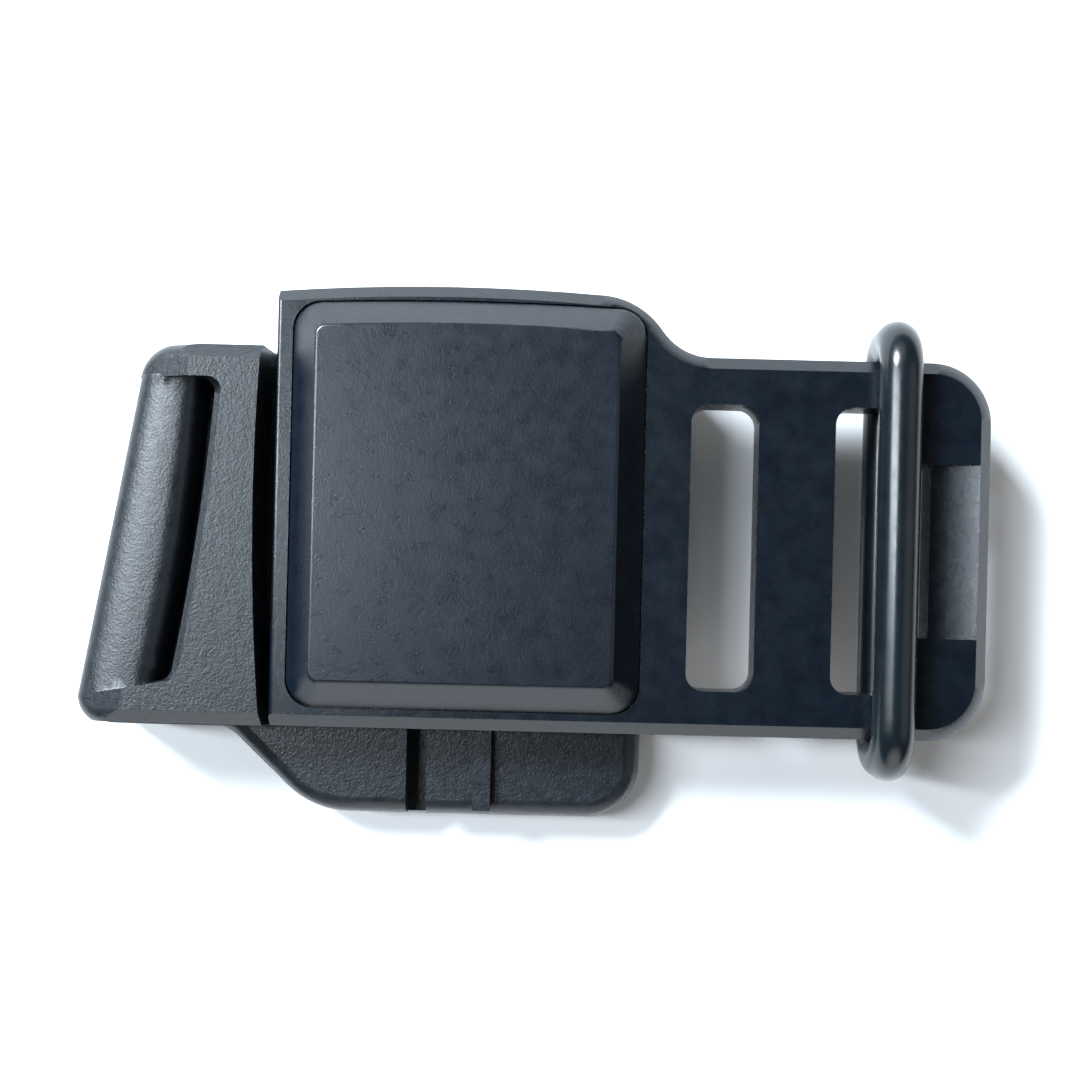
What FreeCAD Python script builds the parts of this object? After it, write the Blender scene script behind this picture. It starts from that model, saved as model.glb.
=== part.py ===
import FreeCAD, Part
import math
import os
from FreeCAD import Vector

# Magnetic slide buckle for 15 mm webbing, closed. Millimetres.
# X runs along the strap, Y is the way the halves slide, Z is up, and the buckle lies on Z = 0.
# The anchor half holds the sewn end of the strap and carries the base plate. The adjuster half lies on
# that plate and holds the free end of the strap in two slots.

# ---- driving dimensions ----
WEBBING = 15.0
RIGHT_END = 25.75
TOP = 15.15
BOTTOM = -15.15
PAST = 1.0  # how far a cut runs past the material

# anchor half: webbing frame
FRAME_TOP_Z = 7.6
FRAME_TOP_Y = 11.56
FRAME_BOTTOM_Y = -10.1
FRAME_TOP_LEFT_X = -22.25
FRAME_BOTTOM_LEFT_X = -26.09
SHOULDER_TOP_X = -15.35
SHOULDER_MID_X = -15.6
SHOULDER_MID_Y = 2.5
SHOULDER_BOTTOM_X = -14.95
FRAME_TOP_CORNER_R = 2.2
FRAME_BOTTOM_CORNER_R = 1.8
FRAME_EDGE_CHAMFER = 0.8
LEFT_SLOPE_WIDTH = 3.1
LEFT_SLOPE_DROP = 1.5
FRAME_LEFT_ROUND = 1.0
FLANGE_STEP = 0.25
FLANGE_Z = 4.6

# anchor half: the window, its ledge and the bar that the strap is sewn round
WINDOW_TOP_Y = 9.66
WINDOW_BOTTOM_RIGHT_Y = -7.35
WINDOW_BOTTOM_LEFT_Y = -8.45
WINDOW_TOP_X = -17.45
WINDOW_MID_X = -18.33
WINDOW_MID_Y = 0.9
WINDOW_BOTTOM_X = -19.65
WINDOW_CORNER = 0.8
WINDOW_FLOOR_Z = 1.0
LEDGE_START = 0.08
LEDGE_WIDTH = 0.6
LEDGE_HIGH_Z = 6.8
LEDGE_LOW_Z = 6.55
LEDGE_UNDER_Z = 6.0
LEDGE_UNDER_WIDTH = 0.15
BAR_BOTTOM_Z = 2.4
BAR_TOP_Z = 6.95
BAR_WIDEST_Z = 5.6
BAR_INSET = 0.1
BAR_CREST_SHARE = 0.7
BAR_LEFT_FULLNESS = 0.62
BAR_RIGHT_FULLNESS = 0.68
BAR_MID_Y = 1.0
BAR_GAP_TOP_X = -18.85
BAR_GAP_MID_X = -19.6
BAR_GAP_BOTTOM_X = -21.05
BAR_ROOT = 0.15

# anchor half: base plate
PLATE_Z = 3.4
PLATE_RIGHT_X = 6.45
PLATE_TOP_Y = 11.75
PLATE_INSIDE_X = -16.8
PLATE_CORNER_X = -12.7
PLATE_CORNER_R = 3.2
PLATE_DIAGONAL_R = 5.2
PLATE_TOP_R = 1.5
PLATE_TOP_ROUND = 1.0
PLATE_UNDER_ROUND = 0.45
PLATE_TUCK = 0.6
HOLLOW_START_X = -19.3
HOLLOW_MIDDLE = (-18.3, -10.25)
HOLLOW_END = (-17.4, -10.7)

# the rail that joins the halves: a hook in an undercut groove, and a rib in a channel
GROOVE_LEFT_X = -7.17
GROOVE_NECK_X = -6.0
GROOVE_POCKET_X = -5.3
GROOVE_FLOOR_Z = 1.6
GROOVE_LIP_Z = 2.4
GROOVE_END_Y = 9.3
RAIL_CLEARANCE = 0.12
RIB_LEFT_X = -3.2
RIB_RIGHT_X = -2.2
RIB_TOP_Z = 4.0
RIB_CLEARANCE = 0.2
RIB_ROOT = 0.5
RAIL_START = 0.4
HOOK_ROOT = 0.4
HOOK_END = 0.1

# adjuster half: body and ladder frame
BODY_BOTTOM_Z = 3.6
BODY_TOP_Z = 7.2
LADDER_BOTTOM_Z = 4.2
LADDER_STEP_X = 7.6
BODY_LEFT_X = -14.55
BODY_BOTTOM_Y = -9.85
LADDER_TOP_Y = 11.5
TAB_LEFT_Y = 14.7
TAB_CROWN_X = -4.5
TAB_RIGHT_X = 3.4
TAB_RIGHT_Y = 14.9
SHOULDER_R = 4.5
SHOULDER_END_X = 9.9
END_CORNER_R = 3.4
BODY_CHAMFER = 0.7
BODY_LEFT_ROUND = 0.25

# adjuster half: slots and ramped end
SLOT_WIDTH = 3.8
SLOT_LENGTH = WEBBING + 1.1
SLOT_CORNER_R = 1.0
SLOT_CENTRE_Y = 0.75
SLOT_LEFT_XS = (8.8, 16.9)
RECESS_LOW_Y = -4.05
RECESS_HIGH_Y = 5.73
RECESS_EDGE_X = 22.4
RECESS_FLAT_Z = 6.7
RAMP_START_X = 23.5
RAMP_END_X = 25.1

# magnet cap
CAP_SEAT_Z = 6.8
CAP_TOP_Z = 8.8
CAP_LEFT_X = -13.65
CAP_RIGHT_X = 6.25
CAP_BOTTOM_Y = -8.75
CAP_SIDE_Y = 14.0
CAP_CROWN_Y = 14.27
CAP_CORNER_R = 1.6
CAP_SLOPE = 1.57
CAP_FLAT_CORNER_R = 0.6
CAP_TOP_ROUND = 0.25
CAP_FIT = 0.08

# magnets, steel plates and cover
MAGNET_WIDTH = 4.2
MAGNET_LENGTH = 12.0
MAGNET_CENTRE_Y = 2.3
MAGNET_CENTRE_XS = {"left": -10.3, "right": 1.9}
MAGNET_FIT = 0.05
MAGNET_CORNER_R = 0.4
STEEL_CORNER_R = 0.6
COVER_Z = 0.6
ANCHOR_STEEL_Z = 1.2
ANCHOR_MAGNET_Z = 2.8
COVER_RIM = 0.9
ADJUSTER_FLOOR_Z = 4.4
ADJUSTER_STEEL_Z = 7.6

# strap keeper ring
RING_R = 1.2
RING_X = 20.3
RING_SEAT = 0.1
RING_SEAT_GAP = 0.02
RING_BEND_R = 1.9


def face_of(edges):
    return Part.Face(Part.Wire(Part.__sortEdges__(edges)))


def line(a, b):
    return Part.LineSegment(Vector(*a), Vector(*b)).toShape()


def arc(a, b, c):
    return Part.Arc(Vector(*a), Vector(*b), Vector(*c)).toShape()


def box(x0, x1, y0, y1, z0, z1):
    return Part.makeBox(x1 - x0, y1 - y0, z1 - z0, Vector(x0, y0, z0))


def prism_along_x(points, x0, x1):
    """A prism along X on a straight-sided outline of (y, z) points."""
    corners = [Vector(x0, y, z) for y, z in points]
    face = Part.Face(Part.makePolygon(corners + corners[:1]))
    return face.extrude(Vector(x1 - x0, 0, 0))


def upright_edges(shape, near=None, reach=0.05):
    """Edges parallel to Z, or only those within reach of the (x, y) places in near."""
    found = []
    for edge in shape.Edges:
        a, b = edge.Vertexes[0].Point, edge.Vertexes[-1].Point
        if math.hypot(a.x - b.x, a.y - b.y) > 1e-6 or abs(a.z - b.z) < 1e-6:
            continue
        if near is None or any(math.hypot(a.x - x, a.y - y) < reach for x, y in near):
            found.append(edge)
    return found


def edges_at(shape, z, keep):
    """Edges that lie wholly at height z and whose middle point passes keep(x, y)."""
    found = []
    for edge in shape.Edges:
        box_of = edge.BoundBox
        if abs(box_of.ZMin - z) > 1e-5 or abs(box_of.ZMax - z) > 1e-5:
            continue
        middle = edge.valueAt((edge.FirstParameter + edge.LastParameter) / 2)
        if keep(middle.x, middle.y):
            found.append(edge)
    return found


def outline_at(prism, z):
    """The prism's outline at its face at height z."""
    for face in prism.Faces:
        if abs(face.BoundBox.ZMin - z) < 1e-6 and abs(face.BoundBox.ZMax - z) < 1e-6:
            return face.OuterWire


def rounded_box(x0, x1, y0, y1, z0, z1, r):
    block = box(x0, x1, y0, y1, z0, z1)
    return block.makeFillet(r, upright_edges(block))


# ---- anchor half ----
def frame_left_x(y):
    """The slanted outer edge of the webbing frame at height y in plan."""
    share = (y - FRAME_BOTTOM_Y) / (FRAME_TOP_Y - FRAME_BOTTOM_Y)
    return FRAME_BOTTOM_LEFT_X + share * (FRAME_TOP_LEFT_X - FRAME_BOTTOM_LEFT_X)


def left_slope():
    """What is cut away above the frame's left side, which slopes down to the outer edge."""
    run, drop = LEFT_SLOPE_WIDTH, LEFT_SLOPE_DROP
    low_z = FRAME_TOP_Z - drop * (run + PAST) / run
    sections = []
    for y in (FRAME_BOTTOM_Y - PAST, FRAME_TOP_Y + PAST):
        x = frame_left_x(y)
        corners = [
            Vector(x + run, y, FRAME_TOP_Z),
            Vector(x + run, y, FRAME_TOP_Z + PAST),
            Vector(x - PAST, y, FRAME_TOP_Z + PAST),
            Vector(x - PAST, y, low_z),
        ]
        sections.append(Part.makePolygon(corners + corners[:1]))
    return Part.makeLoft(sections, True, True)


def left_rim(block):
    """The outer edge of the left slope, with the parts of it that run round the two corners."""
    rim = []
    for edge in block.Edges:
        middle = edge.valueAt((edge.FirstParameter + edge.LastParameter) / 2)
        out = middle.x - frame_left_x(middle.y)
        if out < FRAME_BOTTOM_CORNER_R / 2 and middle.z > FRAME_TOP_Z - 2 * LEFT_SLOPE_DROP:
            rim.append(edge)
    return rim


def anchor_frame_block():
    """The trapezoid block of the webbing frame, before its window is cut."""
    top_right = (SHOULDER_TOP_X, FRAME_TOP_Y, 0)
    top_left = (FRAME_TOP_LEFT_X, FRAME_TOP_Y, 0)
    bottom_left = (FRAME_BOTTOM_LEFT_X, FRAME_BOTTOM_Y, 0)
    bottom_right = (SHOULDER_BOTTOM_X, FRAME_BOTTOM_Y, 0)
    edges = [
        line(top_right, top_left),
        line(top_left, bottom_left),
        line(bottom_left, bottom_right),
        arc(bottom_right, (SHOULDER_MID_X, SHOULDER_MID_Y, 0), top_right),
    ]
    block = face_of(edges).extrude(Vector(0, 0, FRAME_TOP_Z)).cut(left_slope())
    block = block.makeFillet(FRAME_TOP_CORNER_R, upright_edges(block, [top_left[:2]]))
    block = block.makeFillet(FRAME_BOTTOM_CORNER_R, upright_edges(block, [bottom_left[:2]]))
    return block.makeFillet(FRAME_LEFT_ROUND, left_rim(block))


def window_plan(offset):
    """The window's outline, its right wall moved left by offset and its left end past the frame."""
    past_x = FRAME_BOTTOM_LEFT_X - PAST
    drop = WINDOW_BOTTOM_LEFT_Y - WINDOW_BOTTOM_RIGHT_Y
    slope = drop / (frame_left_x(WINDOW_BOTTOM_LEFT_Y) - WINDOW_BOTTOM_X)
    top_left = (past_x, WINDOW_TOP_Y, 0)
    top_right = (WINDOW_TOP_X - offset, WINDOW_TOP_Y, 0)
    middle = (WINDOW_MID_X - offset, WINDOW_MID_Y, 0)
    bottom_right = (WINDOW_BOTTOM_X - offset, WINDOW_BOTTOM_RIGHT_Y, 0)
    bottom_left = (past_x, WINDOW_BOTTOM_RIGHT_Y + slope * (past_x - WINDOW_BOTTOM_X), 0)
    return [
        line(top_left, top_right),
        arc(top_right, middle, bottom_right),
        line(bottom_right, bottom_left),
        line(bottom_left, top_left),
    ]


def window_cut(offset, z0, z1):
    cut = face_of(window_plan(offset)).extrude(Vector(0, 0, z1 - z0))
    cut.translate(Vector(0, 0, z0))
    corners = [(WINDOW_TOP_X - offset, WINDOW_TOP_Y), (WINDOW_BOTTOM_X - offset, WINDOW_BOTTOM_RIGHT_Y)]
    return cut.makeFillet(WINDOW_CORNER, upright_edges(cut, corners))


def ledge_slope():
    """What is cut away above the ledge, whose face slopes down towards the bar."""
    high = window_cut(LEDGE_START, LEDGE_HIGH_Z, LEDGE_HIGH_Z + PAST)
    low = window_cut(LEDGE_WIDTH, LEDGE_LOW_Z, LEDGE_LOW_Z + PAST)
    return Part.makeLoft([outline_at(low, LEDGE_LOW_Z), outline_at(high, LEDGE_HIGH_Z)], True, True)


def bar_gap_x(y):
    """The bar's edge at the webbing gap: a parabola through its three named places."""
    t = (y - BAR_MID_Y) / (WINDOW_TOP_Y - BAR_MID_Y)
    up, down = BAR_GAP_TOP_X - BAR_GAP_MID_X, BAR_GAP_BOTTOM_X - BAR_GAP_MID_X
    return BAR_GAP_MID_X + t * (up - down) / 2 + t * t * (up + down) / 2


def quarter(start, corner, end, fullness):
    """A quarter round from start to end, square to both, drawn towards the corner by fullness."""
    curve = Part.BezierCurve()
    curve.setPoles([start, start + (corner - start) * fullness, end + (corner - end) * fullness, end])
    return curve.toShape()


def bar_section(y):
    """The bar's outline across y: an oval with full shoulders, its crest nearer its right side."""
    left, right = frame_left_x(y) + BAR_INSET, bar_gap_x(y)
    crest = left + BAR_CREST_SHARE * (right - left)
    outer, inner = Vector(left, y, BAR_WIDEST_Z), Vector(right, y, BAR_WIDEST_Z)
    over, under = Vector(crest, y, BAR_TOP_Z), Vector(crest, y, BAR_BOTTOM_Z)
    edges = [
        quarter(inner, Vector(right, y, BAR_TOP_Z), over, BAR_RIGHT_FULLNESS),
        quarter(over, Vector(left, y, BAR_TOP_Z), outer, BAR_LEFT_FULLNESS),
        quarter(outer, Vector(left, y, BAR_BOTTOM_Z), under, BAR_LEFT_FULLNESS),
        quarter(under, Vector(right, y, BAR_BOTTOM_Z), inner, BAR_RIGHT_FULLNESS),
    ]
    return Part.Wire(edges)


def edge_bevels():
    """Wedges that bevel the frame's long top edges, and the shallow step above its lower flange."""
    c = FRAME_EDGE_CHAMFER
    top = FRAME_TOP_Z
    x0, x1 = FRAME_BOTTOM_LEFT_X - PAST, SHOULDER_BOTTOM_X + PAST
    far_y, near_y = FRAME_TOP_Y, FRAME_BOTTOM_Y + FLANGE_STEP
    far = prism_along_x([(far_y - c, top), (far_y + c, top), (far_y + c, top - 2 * c)], x0, x1)
    near = prism_along_x([(near_y + c, top), (near_y - c, top), (near_y - c, top - 2 * c)], x0, x1)
    step = box(x0, x1, FRAME_BOTTOM_Y - PAST, near_y, FLANGE_Z, top + PAST)
    return far.fuse(near).fuse(step)


def webbing_bar():
    """The rounded bar between the cheeks, just inside the frame's outer edge."""
    low, high = WINDOW_BOTTOM_LEFT_Y - BAR_ROOT, WINDOW_TOP_Y + BAR_ROOT
    stations = (low, (low + high) / 2, high)
    return Part.makeLoft([bar_section(y) for y in stations], True, False)


def outside_frame(x, y):
    """Whether (x, y) on the base plate's outline is clear of the webbing frame."""
    return y < FRAME_BOTTOM_Y - 0.05 or x > PLATE_RIGHT_X - 1 or y > PLATE_TOP_Y - 1


def base_plate():
    """The plate under both halves, from inside the frame to the finger tab's edge."""
    tuck_y = FRAME_BOTTOM_Y + PLATE_TUCK
    left_top = (PLATE_INSIDE_X, PLATE_TOP_Y, 0)
    right_top = (PLATE_RIGHT_X, PLATE_TOP_Y, 0)
    right_bottom = (PLATE_RIGHT_X, BOTTOM, 0)
    left_bottom = (PLATE_CORNER_X, BOTTOM, 0)
    hollow_end = (*HOLLOW_END, 0)
    hollow_start = (HOLLOW_START_X, FRAME_BOTTOM_Y, 0)
    tucked_left = (HOLLOW_START_X, tuck_y, 0)
    tucked_right = (PLATE_INSIDE_X, tuck_y, 0)
    edges = [
        line(left_top, right_top),
        line(right_top, right_bottom),
        line(right_bottom, left_bottom),
        line(left_bottom, hollow_end),
        arc(hollow_end, (*HOLLOW_MIDDLE, 0), hollow_start),
        line(hollow_start, tucked_left),
        line(tucked_left, tucked_right),
        line(tucked_right, left_top),
    ]
    plate = face_of(edges).extrude(Vector(0, 0, PLATE_Z))
    corners = ((right_bottom, PLATE_CORNER_R), (left_bottom, PLATE_DIAGONAL_R), (right_top, PLATE_TOP_R))
    for place, radius in corners:
        plate = plate.makeFillet(radius, upright_edges(plate, [place[:2]]))
    for z, radius in ((0, PLATE_UNDER_ROUND), (PLATE_Z, PLATE_TOP_ROUND)):
        outer = edges_at(plate, z, outside_frame)
        plate = plate.makeFillet(radius, outer)
    return plate


def rail_groove():
    """The undercut groove, open at the finger tab's edge and closed at the far end."""
    low_y = BOTTOM - PAST
    neck = box(GROOVE_LEFT_X, GROOVE_NECK_X, low_y, GROOVE_END_Y, GROOVE_FLOOR_Z, PLATE_Z + PAST)
    pocket = box(GROOVE_LEFT_X, GROOVE_POCKET_X, low_y, GROOVE_END_Y, GROOVE_FLOOR_Z, GROOVE_LIP_Z)
    return neck.fuse(pocket)


def magnet_block(x, z0, z1, fit=0.0):
    half_w = MAGNET_WIDTH / 2 + fit
    half_l = MAGNET_LENGTH / 2 + fit
    low, high = MAGNET_CENTRE_Y - half_l, MAGNET_CENTRE_Y + half_l
    return rounded_box(x - half_w, x + half_w, low, high, z0, z1, MAGNET_CORNER_R)


def steel_plate(z0, z1, fit=0.0):
    """The plate that spans both magnets of a half."""
    reach = MAGNET_WIDTH / 2 + fit
    x0 = MAGNET_CENTRE_XS["left"] - reach
    x1 = MAGNET_CENTRE_XS["right"] + reach
    y0 = MAGNET_CENTRE_Y - MAGNET_LENGTH / 2 - fit
    y1 = MAGNET_CENTRE_Y + MAGNET_LENGTH / 2 + fit
    return rounded_box(x0, x1, y0, y1, z0, z1, STEEL_CORNER_R)


def magnet_cover(fit=0.0):
    return steel_plate(0, COVER_Z, COVER_RIM - MAGNET_FIT + fit)


def webbing_frame():
    """The frame with its bevels, window, ledge and bar."""
    block = anchor_frame_block().cut(edge_bevels())
    block = block.cut(window_cut(0, LEDGE_HIGH_Z, FRAME_TOP_Z + PAST))
    block = block.cut(ledge_slope())
    block = block.cut(window_cut(LEDGE_WIDTH, LEDGE_UNDER_Z, LEDGE_LOW_Z))
    block = block.cut(window_cut(LEDGE_UNDER_WIDTH, WINDOW_FLOOR_Z, LEDGE_UNDER_Z))
    return block.fuse(webbing_bar())


def anchor_body():
    rib = box(RIB_LEFT_X, RIB_RIGHT_X, BOTTOM + RAIL_START, GROOVE_END_Y, PLATE_Z - RIB_ROOT, RIB_TOP_Z)
    body = webbing_frame().fuse(base_plate()).fuse(rib)
    body = body.cut(rail_groove())
    body = body.cut(magnet_cover(MAGNET_FIT))
    body = body.cut(steel_plate(COVER_Z, ANCHOR_STEEL_Z, MAGNET_FIT))
    for x in MAGNET_CENTRE_XS.values():
        body = body.cut(magnet_block(x, ANCHOR_STEEL_Z, ANCHOR_MAGNET_Z, MAGNET_FIT))
    return body


# ---- adjuster half ----
def adjuster_outline():
    """Plan outline: straight left edge, crowned finger tab, S-shaped shoulder and the ladder frame."""
    first = Vector(TAB_RIGHT_X, TAB_RIGHT_Y - SHOULDER_R, 0)
    run = SHOULDER_END_X - TAB_RIGHT_X
    drop = LADDER_TOP_Y - first.y
    second_r = (run ** 2 + drop ** 2 - SHOULDER_R ** 2) / (2 * (SHOULDER_R - drop))
    second = Vector(SHOULDER_END_X, LADDER_TOP_Y + second_r, 0)
    between = (second - first).normalize()
    meet = first + between * SHOULDER_R
    up = Vector(0, 1, 0)
    first_middle = first + (between + up).normalize() * SHOULDER_R
    second_middle = second - (between + up).normalize() * second_r
    tab_left = (BODY_LEFT_X, TAB_LEFT_Y, 0)
    tab_right = (TAB_RIGHT_X, TAB_RIGHT_Y, 0)
    shoulder_end = (SHOULDER_END_X, LADDER_TOP_Y, 0)
    end_top = (RIGHT_END, LADDER_TOP_Y, 0)
    end_bottom = (RIGHT_END, BODY_BOTTOM_Y, 0)
    left_bottom = (BODY_LEFT_X, BODY_BOTTOM_Y, 0)
    return [
        arc(tab_left, (TAB_CROWN_X, TOP, 0), tab_right),
        arc(tab_right, tuple(first_middle), tuple(meet)),
        arc(tuple(meet), tuple(second_middle), shoulder_end),
        line(shoulder_end, end_top),
        line(end_top, end_bottom),
        line(end_bottom, left_bottom),
        line(left_bottom, tab_left),
    ]


def adjuster_block():
    block = face_of(adjuster_outline()).extrude(Vector(0, 0, BODY_TOP_Z - BODY_BOTTOM_Z))
    block.translate(Vector(0, 0, BODY_BOTTOM_Z))
    ends = [(RIGHT_END, LADDER_TOP_Y), (RIGHT_END, BODY_BOTTOM_Y)]
    block = block.makeFillet(END_CORNER_R, upright_edges(block, ends))
    outer = edges_at(block, BODY_TOP_Z, lambda x, y: x > BODY_LEFT_X + 0.5)
    block = block.makeChamfer(BODY_CHAMFER, outer)
    left = edges_at(block, BODY_TOP_Z, lambda x, y: x < BODY_LEFT_X + 0.01)
    block = block.makeFillet(BODY_LEFT_ROUND, left)
    under = box(LADDER_STEP_X, RIGHT_END + PAST, BODY_BOTTOM_Y - PAST, TOP + PAST, 0, LADDER_BOTTOM_Z)
    return block.cut(under)


def slot(left_x):
    low = SLOT_CENTRE_Y - SLOT_LENGTH / 2
    right_x, high, top = left_x + SLOT_WIDTH, low + SLOT_LENGTH, BODY_TOP_Z + PAST
    return rounded_box(left_x, right_x, low, high, 0, top, SLOT_CORNER_R)


def end_recess():
    """The low middle of the end bar: a gap beside slot two, a flat, and a ramp up to the rim."""
    inside_x = SLOT_LEFT_XS[1] + PAST
    above_z = BODY_TOP_Z + PAST
    gap = box(inside_x, RECESS_EDGE_X, RECESS_LOW_Y, RECESS_HIGH_Y, 0, above_z)
    points = [
        (inside_x, RECESS_FLAT_Z),
        (RAMP_START_X, RECESS_FLAT_Z),
        (RAMP_END_X, BODY_TOP_Z),
        (RAMP_END_X, above_z),
        (inside_x, above_z),
    ]
    corners = [Vector(x, RECESS_LOW_Y, z) for x, z in points]
    face = Part.Face(Part.makePolygon(corners + corners[:1]))
    return gap.fuse(face.extrude(Vector(0, RECESS_HIGH_Y - RECESS_LOW_Y, 0)))


def cap_prism(inset, corner_r, z0, z1):
    """A prism on the cap's plan outline, whose top side is crowned."""
    x0, x1 = CAP_LEFT_X + inset, CAP_RIGHT_X - inset
    y0, y1 = CAP_BOTTOM_Y + inset, CAP_SIDE_Y - inset
    crown = CAP_CROWN_Y - inset
    edges = [
        arc((x0, y1, z0), ((x0 + x1) / 2, crown, z0), (x1, y1, z0)),
        line((x1, y1, z0), (x1, y0, z0)),
        line((x1, y0, z0), (x0, y0, z0)),
        line((x0, y0, z0), (x0, y1, z0)),
    ]
    prism = face_of(edges).extrude(Vector(0, 0, z1 - z0))
    return prism.makeFillet(corner_r, upright_edges(prism))


def magnet_cap():
    rim = cap_prism(CAP_FIT, CAP_CORNER_R, CAP_SEAT_Z, BODY_TOP_Z)
    flat = cap_prism(CAP_SLOPE, CAP_FLAT_CORNER_R, CAP_TOP_Z, CAP_TOP_Z + PAST)
    slopes = Part.makeLoft([outline_at(rim, BODY_TOP_Z), outline_at(flat, CAP_TOP_Z)], True, True)
    cap = rim.fuse(slopes).removeSplitter()
    cap = cap.makeFillet(CAP_TOP_ROUND, edges_at(cap, CAP_TOP_Z, lambda x, y: True))
    return cap.cut(steel_plate(CAP_SEAT_Z - PAST, ADJUSTER_STEEL_Z, MAGNET_FIT))


def rail_hook():
    """The L-shaped hook under the adjuster body that rides in the base plate's groove."""
    c = RAIL_CLEARANCE
    low_y, high_y = BODY_BOTTOM_Y + RAIL_START, GROOVE_END_Y - HOOK_END
    stem_top = BODY_BOTTOM_Z + HOOK_ROOT
    stem = box(GROOVE_LEFT_X + c, GROOVE_NECK_X - c, low_y, high_y, GROOVE_FLOOR_Z + c, stem_top)
    foot = box(GROOVE_LEFT_X + c, GROOVE_POCKET_X - c, low_y, high_y, GROOVE_FLOOR_Z + c, GROOVE_LIP_Z - c)
    return stem.fuse(foot)


def rib_channel():
    """The channel under the adjuster body that clears the base plate's rib."""
    c = RIB_CLEARANCE
    low_y, high_y = BODY_BOTTOM_Y - PAST, TOP + PAST
    return box(RIB_LEFT_X - c, RIB_RIGHT_X + c, low_y, high_y, 0, RIB_TOP_Z + c)


def adjuster_body():
    body = adjuster_block()
    for left_x in SLOT_LEFT_XS:
        body = body.cut(slot(left_x))
    body = body.cut(end_recess())
    body = body.cut(cap_prism(0, CAP_CORNER_R, CAP_SEAT_Z, BODY_TOP_Z + PAST))
    for x in MAGNET_CENTRE_XS.values():
        body = body.cut(magnet_block(x, ADJUSTER_FLOOR_Z, CAP_SEAT_Z, MAGNET_FIT))
    body = body.cut(rib_channel())
    body = body.fuse(rail_hook())
    body = body.cut(keeper_ring(RING_R + RING_SEAT_GAP))
    return body.removeSplitter()


def keeper_ring(section_r=RING_R):
    """A round section run round the ladder frame, in a plane across the strap."""
    low_y = BODY_BOTTOM_Y - RING_R + RING_SEAT
    high_y = LADDER_TOP_Y + RING_R - RING_SEAT
    low_z = LADDER_BOTTOM_Z - RING_R + RING_SEAT
    high_z = BODY_TOP_Z + RING_R - RING_SEAT
    r = RING_BEND_R
    q = r * (1 - math.sqrt(0.5))
    x = RING_X
    path = [
        line((x, low_y + r, low_z), (x, high_y - r, low_z)),
        arc((x, high_y - r, low_z), (x, high_y - q, low_z + q), (x, high_y, low_z + r)),
        line((x, high_y, low_z + r), (x, high_y, high_z - r)),
        arc((x, high_y, high_z - r), (x, high_y - q, high_z - q), (x, high_y - r, high_z)),
        line((x, high_y - r, high_z), (x, low_y + r, high_z)),
        arc((x, low_y + r, high_z), (x, low_y + q, high_z - q), (x, low_y, high_z - r)),
        line((x, low_y, high_z - r), (x, low_y, low_z + r)),
        arc((x, low_y, low_z + r), (x, low_y + q, low_z + q), (x, low_y + r, low_z)),
    ]
    section = Part.Wire(Part.makeCircle(section_r, Vector(x, low_y + r, low_z), Vector(0, 1, 0)))
    return Part.Wire(path).makePipeShell([section], True, False)


def parts():
    made = {
        "anchor_body": anchor_body(),
        "anchor_flux_plate": steel_plate(COVER_Z, ANCHOR_STEEL_Z),
        "anchor_magnet_cover": magnet_cover(),
        "adjuster_body": adjuster_body(),
        "adjuster_flux_plate": steel_plate(CAP_SEAT_Z, ADJUSTER_STEEL_Z),
        "magnet_cap": magnet_cap(),
        "strap_keeper_ring": keeper_ring(),
    }
    for side, x in MAGNET_CENTRE_XS.items():
        made["anchor_magnet_" + side] = magnet_block(x, ANCHOR_STEEL_Z, ANCHOR_MAGNET_Z)
        made["adjuster_magnet_" + side] = magnet_block(x, ADJUSTER_FLOOR_Z, CAP_SEAT_Z)
    return made


def main():
    os.makedirs("parts", exist_ok=True)
    for name, shape in parts().items():
        if len(shape.Solids) != 1 or not shape.isValid():
            raise SystemExit(f"{name}: {len(shape.Solids)} solids, valid {shape.isValid()}")
        shape.Solids[0].exportStep(f"parts/{name}.step")
        b = shape.BoundBox
        print(f"{name:22s} X {b.XMin:7.2f} {b.XMax:7.2f}  Y {b.YMin:7.2f} {b.YMax:7.2f}"
              f"  Z {b.ZMin:5.2f} {b.ZMax:5.2f}  {shape.Volume:8.2f} mm3")


main()
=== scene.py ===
import math

import bmesh
import bpy
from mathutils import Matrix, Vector


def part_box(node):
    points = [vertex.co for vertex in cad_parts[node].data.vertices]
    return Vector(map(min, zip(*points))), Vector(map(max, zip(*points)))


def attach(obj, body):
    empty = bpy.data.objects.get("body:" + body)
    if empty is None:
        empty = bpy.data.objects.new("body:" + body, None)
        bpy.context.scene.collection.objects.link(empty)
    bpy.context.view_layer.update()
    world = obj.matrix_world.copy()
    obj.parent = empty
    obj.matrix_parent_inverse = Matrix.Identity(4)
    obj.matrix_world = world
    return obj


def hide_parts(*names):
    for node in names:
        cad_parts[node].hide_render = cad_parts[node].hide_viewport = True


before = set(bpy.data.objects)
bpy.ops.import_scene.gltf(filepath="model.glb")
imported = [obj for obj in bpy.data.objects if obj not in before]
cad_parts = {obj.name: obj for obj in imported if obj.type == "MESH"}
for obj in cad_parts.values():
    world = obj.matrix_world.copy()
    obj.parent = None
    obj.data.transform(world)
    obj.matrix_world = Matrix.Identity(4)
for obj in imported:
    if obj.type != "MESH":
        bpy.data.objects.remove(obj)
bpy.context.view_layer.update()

MM = 0.001

# ---- view: straight down on the buckle, a hand's breadth above it ----
CAMERA_HEIGHT = 95 * MM
CAMERA_OVER = Vector((3.69, -1.735, 0)) * MM
CAMERA_ROLL = math.radians(1.4)
CAMERA_LENS = 52.24
SENSOR_WIDTH = 36.0
CAMERA_SHIFT = (-0.0521, 0.0458)

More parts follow.
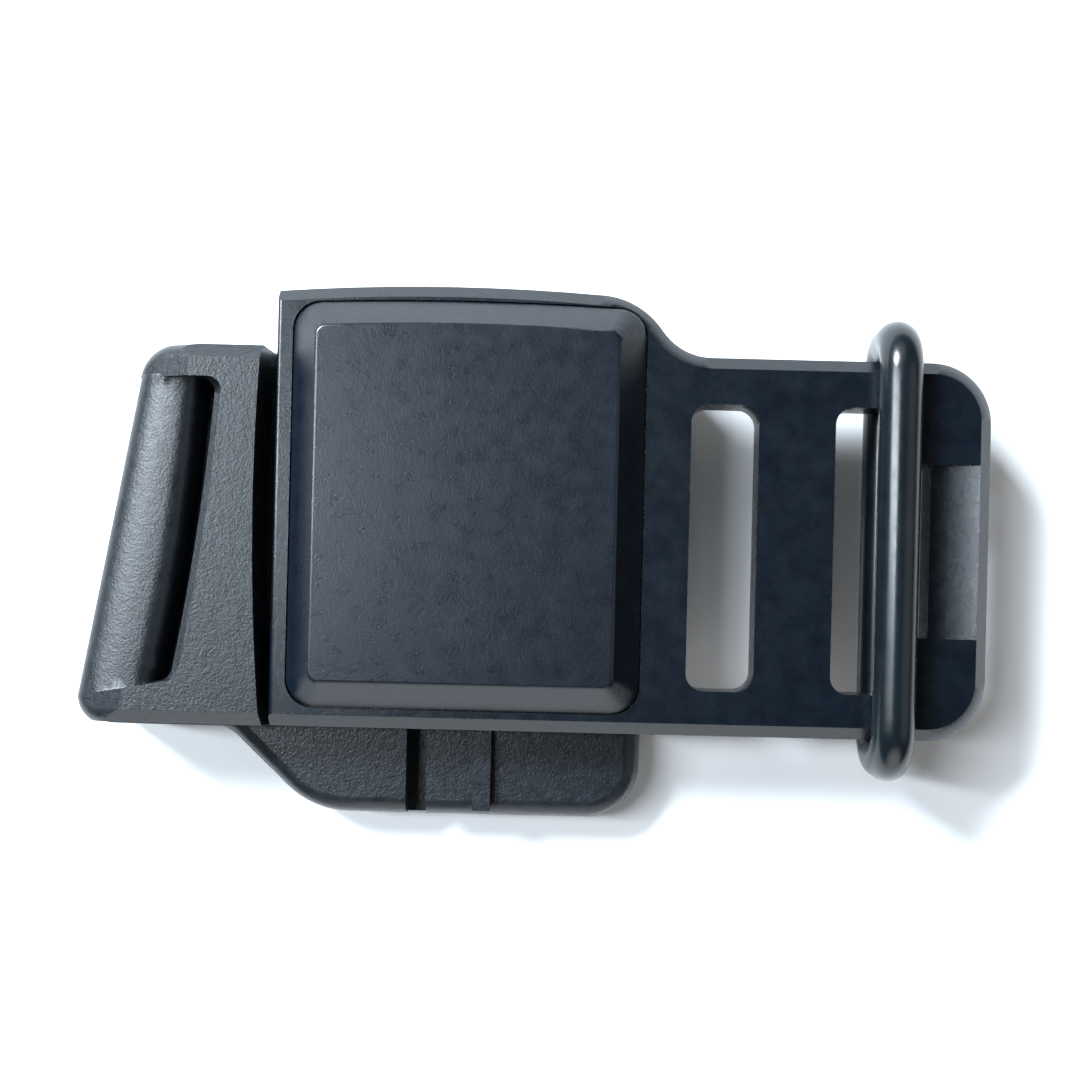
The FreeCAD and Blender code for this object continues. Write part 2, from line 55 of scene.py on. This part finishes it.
# ---- edge softness of the mouldings ----
EDGE_ROUND = 0.12 * MM
EDGE_SEGMENTS = 2
EDGE_ANGLE = math.radians(25)
MERGE_DISTANCE = 0.0002 * MM
FLAT_ANGLE = math.radians(0.6)
COVER_EDGE_ROUND = 0.06 * MM

# ---- keeper ring ----
RING_BEND_R = 1.9 * MM
RING_BEND_STEPS = 12
RING_SIDE_STEPS = 24
RING_SECTION_POINTS = 48

# ---- surfaces ----
PLASTIC_IOR = 1.5
MOTTLE_LOW, MOTTLE_HIGH = 0.35, 0.65  # where the mottling starts and ends its change of tone
COARSE_GRAIN = 2.5  # the second grain's size, as a multiple of the first
COARSE_DEPTH = 0.6  # and its depth, as a share of the first
FLOOR_SIZE = 1.2

# ---- light: a strip lamp and a soft box to the upper left, and a dim room with three bright patches ----
LAMP_COLOUR = (0.86, 0.96, 1.05)
# name, place, width, depth, power
LAMPS = (
    ("strip", (-0.29, 0.05, 0.42), 0.035, 0.34, 2.2),
    ("softbox", (-0.32, 0.30, 0.38), 0.20, 0.18, 9.5),
)
# direction, degrees where full and where gone, strength
ROOM = (
    ((0, 0, 1), 0, 180, 0.03),
    ((0.1, -1, 0.35), 8, 36, 2.0),
    ((-0.2, 1, 0.9), 4, 26, 1.3),
    ((1, 0, 0.8), 5, 32, 0.6),
)


# ---- helpers ----
def link(obj):
    bpy.context.scene.collection.objects.link(obj)
    return obj


def finished_mesh(obj):
    """Applies obj's modifiers, so that what is seen is in the mesh itself."""
    bpy.context.view_layer.update()
    graph = bpy.context.evaluated_depsgraph_get()
    mesh = bpy.data.meshes.new_from_object(obj.evaluated_get(graph))
    obj.modifiers.clear()
    obj.data = mesh
    return obj


def softened(node, name, width=EDGE_ROUND):
    """A copy of a CAD moulding with its facets merged and every sharp edge rounded."""
    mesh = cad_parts[node].data.copy()
    mesh.materials.clear()
    bm = bmesh.new()
    bm.from_mesh(mesh)
    bmesh.ops.remove_doubles(bm, verts=bm.verts, dist=MERGE_DISTANCE)
    bmesh.ops.dissolve_limit(bm, angle_limit=FLAT_ANGLE, verts=bm.verts, edges=bm.edges)
    for face in bm.faces:
        face.smooth = True
    bm.to_mesh(mesh)
    bm.free()
    obj = link(bpy.data.objects.new(name, mesh))
    bevel = obj.modifiers.new("edges", "BEVEL")
    bevel.width = width
    bevel.segments = EDGE_SEGMENTS
    bevel.limit_method = "ANGLE"
    bevel.angle_limit = EDGE_ANGLE
    bevel.miter_outer = "MITER_ARC"
    obj.modifiers.new("normals", "WEIGHTED_NORMAL").keep_sharp = False
    return finished_mesh(obj)


# ---- materials ----
class Nodes:
    """Short calls for building a material's node tree."""

    def __init__(self, name):
        self.material = bpy.data.materials.new(name)
        self.material.use_nodes = True
        self.tree = self.material.node_tree
        self.shader = self.tree.nodes["Principled BSDF"]
        self.place = self.tree.nodes.new("ShaderNodeTexCoord").outputs["Object"]

    def join(self, source, target):
        self.tree.links.new(source, target)

    def noise(self, size, detail=2.0, roughness=0.5):
        node = self.tree.nodes.new("ShaderNodeTexNoise")
        node.inputs["Scale"].default_value = 1 / size
        node.inputs["Detail"].default_value = detail
        node.inputs["Roughness"].default_value = roughness
        self.join(self.place, node.inputs["Vector"])
        return node.outputs["Fac"]

    def ramp(self, value, low, high, colours):
        node = self.tree.nodes.new("ShaderNodeValToRGB")
        node.color_ramp.elements[0].position = low
        node.color_ramp.elements[1].position = high
        for element, colour in zip(node.color_ramp.elements, colours):
            element.color = (*colour, 1)
        self.join(value, node.inputs["Fac"])
        return node.outputs["Color"]

    def span(self, value, low, high):
        node = self.tree.nodes.new("ShaderNodeMapRange")
        node.inputs["From Min"].default_value = 0.3
        node.inputs["From Max"].default_value = 0.7
        node.inputs["To Min"].default_value = low
        node.inputs["To Max"].default_value = high
        self.join(value, node.inputs["Value"])
        return node.outputs["Result"]

    def bump(self, height, distance, before=None):
        node = self.tree.nodes.new("ShaderNodeBump")
        node.inputs["Distance"].default_value = distance
        self.join(height, node.inputs["Height"])
        if before is not None:
            self.join(before, node.inputs["Normal"])
        return node.outputs["Normal"]


def moulded_plastic(name, dark, light, rough, grain, depth, mottle):
    """Black nylon from a spark-eroded mould: a fine sandy grain over slow mottling."""
    n = Nodes(name)
    colour = n.ramp(n.noise(mottle, 3), MOTTLE_LOW, MOTTLE_HIGH, (dark, light))
    n.join(colour, n.shader.inputs["Base Color"])
    n.join(n.span(n.noise(mottle * 0.6, 3), *rough), n.shader.inputs["Roughness"])
    fine = n.bump(n.noise(grain, 3, 0.6), depth)
    coarse = n.bump(n.noise(grain * COARSE_GRAIN, 2), depth * COARSE_DEPTH, fine)
    n.join(coarse, n.shader.inputs["Normal"])
    n.shader.inputs["IOR"].default_value = PLASTIC_IOR
    return n.material


def satin_rubber(name):
    """Smooth black rubber with a low sheen."""
    n = Nodes(name)
    tones = ((0.003, 0.006, 0.008), (0.005, 0.008, 0.011))
    colour = n.ramp(n.noise(1.5 * MM, 2), MOTTLE_LOW, MOTTLE_HIGH, tones)
    n.join(colour, n.shader.inputs["Base Color"])
    n.join(n.span(n.noise(0.8 * MM, 3), 0.22, 0.28), n.shader.inputs["Roughness"])
    n.join(n.bump(n.noise(0.12 * MM, 2), 0.001 * MM), n.shader.inputs["Normal"])
    n.shader.inputs["IOR"].default_value = PLASTIC_IOR
    return n.material


def plated_metal(name, colour, rough):
    n = Nodes(name)
    light = tuple(min(1, c * 1.12) for c in colour)
    n.join(n.ramp(n.noise(1.2 * MM, 3), 0.3, 0.7, (colour, light)), n.shader.inputs["Base Color"])
    n.join(n.span(n.noise(0.3 * MM, 3), rough - 0.06, rough + 0.06), n.shader.inputs["Roughness"])
    n.join(n.bump(n.noise(0.1 * MM, 2), 0.001 * MM), n.shader.inputs["Normal"])
    n.shader.inputs["Metallic"].default_value = 1.0
    return n.material


def paper_white(name):
    n = Nodes(name)
    n.join(
        n.ramp(n.noise(30 * MM, 2), 0.3, 0.7, ((0.86, 0.875, 0.885), (0.90, 0.905, 0.91))),
        n.shader.inputs["Base Color"],
    )
    n.shader.inputs["Roughness"].default_value = 0.85
    n.shader.inputs["Specular IOR Level"].default_value = 0.1
    return n.material


# ---- pieces ----
def show(obj, body, slot, material, *nodes):
    """Puts a finished piece on its body with its material, in place of its CAD nodes; slot is not used.
    """
    obj.data.materials.clear()
    obj.data.materials.append(material)
    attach(obj, body)
    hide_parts(*nodes)


def keep(node, material):
    """Gives a CAD node that stays in view a better material."""
    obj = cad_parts[node]
    for slot in obj.material_slots:
        slot.material = material


def ring_path(y0, y1, z0, z1):
    """The ring's centre line between these limits, as (y, z, angle that faces outwards) in order."""
    r = RING_BEND_R
    corners = [
        ((y1 - r, z1 - r), 0),
        ((y0 + r, z1 - r), 90),
        ((y0 + r, z0 + r), 180),
        ((y1 - r, z0 + r), 270),
    ]
    long_side = {0: -1, 180: 1}  # the corners that a long side follows, and its way along Y
    path = []
    for (cy, cz), start in corners:
        for step in range(RING_BEND_STEPS + 1):
            turn = math.radians(start + 90 * step / RING_BEND_STEPS)
            path.append((cy + r * math.cos(turn), cz + r * math.sin(turn), turn))
        if start in long_side:
            from_y, z, turn = path[-1]
            for step in range(1, RING_SIDE_STEPS):
                y = from_y + long_side[start] * (y1 - y0 - 2 * r) * step / RING_SIDE_STEPS
                path.append((y, z, turn))
    return path


def keeper_ring():
    """The rubber ring: a round section swept round a rounded rectangle across the strap."""
    low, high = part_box("strap_keeper_ring")
    section_r = (high.x - low.x) / 2
    x = (low.x + high.x) / 2
    path = ring_path(low.y + section_r, high.y - section_r, low.z + section_r, high.z - section_r)
    across = Vector((1, 0, 0))
    bm = bmesh.new()
    loops = []
    for y, z, turn in path:
        out = Vector((0, math.cos(turn), math.sin(turn)))
        centre = Vector((x, y, z))
        ring = []
        for k in range(RING_SECTION_POINTS):
            a = 2 * math.pi * k / RING_SECTION_POINTS
            ring.append(bm.verts.new(centre + section_r * (out * math.cos(a) + across * math.sin(a))))
        loops.append(ring)
    for first, second in zip(loops, loops[1:] + loops[:1]):
        for k in range(RING_SECTION_POINTS):
            m = (k + 1) % RING_SECTION_POINTS
            bm.faces.new((first[k], first[m], second[m], second[k]))
    bmesh.ops.recalc_face_normals(bm, faces=bm.faces)
    for face in bm.faces:
        face.smooth = True
    mesh = bpy.data.meshes.new("keeper_ring")
    bm.to_mesh(mesh)
    bm.free()
    return link(bpy.data.objects.new("keeper_ring_rubber", mesh))


def pieces():
    anchor = moulded_plastic(
        "anchor_black", dark=(0.003, 0.005, 0.008), light=(0.007, 0.010, 0.014), rough=(0.31, 0.39),
        grain=0.15 * MM, depth=0.022 * MM, mottle=0.8 * MM)
    adjuster = moulded_plastic(
        "adjuster_black", dark=(0.001, 0.003, 0.006), light=(0.002, 0.005, 0.009), rough=(0.24, 0.30),
        grain=0.10 * MM, depth=0.007 * MM, mottle=1.4 * MM)
    cap = moulded_plastic(
        "cap_black", dark=(0.002, 0.004, 0.008), light=(0.003, 0.006, 0.011), rough=(0.26, 0.32),
        grain=0.10 * MM, depth=0.009 * MM, mottle=1.6 * MM)
    show(softened("anchor_body", "anchor_moulding"), "anchor", "anchor_plastic", anchor, "anchor_body")
    show(softened("anchor_magnet_cover", "anchor_cover_moulding", COVER_EDGE_ROUND),
         "anchor", "anchor_plastic", anchor, "anchor_magnet_cover")
    show(softened("adjuster_body", "adjuster_moulding"),
         "adjuster", "adjuster_plastic", adjuster, "adjuster_body")
    show(softened("magnet_cap", "cap_moulding"), "adjuster", "cap_plastic", cap, "magnet_cap")
    show(keeper_ring(), "adjuster", "keeper_rubber", satin_rubber("keeper_black"), "strap_keeper_ring")
    nickel = plated_metal("nickel_plate", (0.62, 0.61, 0.58), 0.22)
    steel = plated_metal("zinc_steel", (0.48, 0.49, 0.50), 0.36)
    for half in ("anchor", "adjuster"):
        keep(half + "_flux_plate", steel)
        for side in ("left", "right"):
            keep(f"{half}_magnet_{side}", nickel)


# ---- surroundings ----
def floor():
    bpy.ops.mesh.primitive_plane_add(size=FLOOR_SIZE, location=(0, 0, 0))
    plane = bpy.context.object
    plane.name = "table"
    plane.data.materials.append(paper_white("table_white"))


def area_light(name, place, width, depth, power):
    """A rectangular lamp aimed at the middle of the scene."""
    data = bpy.data.lights.new(name, "AREA")
    data.shape = "RECTANGLE"
    data.size = width
    data.size_y = depth
    data.energy = power
    data.color = LAMP_COLOUR
    lamp = link(bpy.data.objects.new(name, data))
    lamp.location = place
    lamp.rotation_euler = (-Vector(place)).to_track_quat("-Z", "Y").to_euler()


def glow(tree, direction, inner, outer, strength):
    """A soft-edged bright patch of the room: full within inner degrees of direction, gone by outer."""
    coords = tree.nodes.new("ShaderNodeTexCoord")
    dot = tree.nodes.new("ShaderNodeVectorMath")
    dot.operation = "DOT_PRODUCT"
    dot.inputs[1].default_value = Vector(direction).normalized()
    tree.links.new(coords.outputs["Generated"], dot.inputs[0])
    fade = tree.nodes.new("ShaderNodeMapRange")
    fade.interpolation_type = "SMOOTHSTEP"
    fade.inputs["From Min"].default_value = math.cos(math.radians(outer))
    fade.inputs["From Max"].default_value = math.cos(math.radians(inner))
    tree.links.new(dot.outputs["Value"], fade.inputs["Value"])
    tint = tree.nodes.new("ShaderNodeVectorMath")
    tint.operation = "SCALE"
    tint.inputs[0].default_value = (strength, strength, strength)
    tree.links.new(fade.outputs["Result"], tint.inputs["Scale"])
    return tint.outputs["Vector"]


def lights():
    """The lamps, and a world that is the sum of the room's patches."""
    for lamp in LAMPS:
        area_light(*lamp)
    world = bpy.data.worlds.new("room")
    bpy.context.scene.world = world
    world.use_nodes = True
    tree = world.node_tree
    total = None
    for patch in ROOM:
        lit = glow(tree, *patch)
        if total is None:
            total = lit
            continue
        add = tree.nodes.new("ShaderNodeVectorMath")
        tree.links.new(total, add.inputs[0])
        tree.links.new(lit, add.inputs[1])
        total = add.outputs["Vector"]
    tree.links.new(total, tree.nodes["Background"].inputs["Color"])


def camera():
    data = bpy.data.cameras.new("camera")
    data.lens = CAMERA_LENS
    data.sensor_width = SENSOR_WIDTH
    data.shift_x, data.shift_y = CAMERA_SHIFT
    data.clip_start = 1 * MM
    data.clip_end = 10
    view = link(bpy.data.objects.new("camera", data))
    view.location = CAMERA_OVER + Vector((0, 0, CAMERA_HEIGHT))
    view.rotation_euler = (0, 0, CAMERA_ROLL)
    bpy.context.scene.camera = view


bpy.context.scene.view_settings.view_transform = "Standard"
camera()
floor()
lights()
pieces()
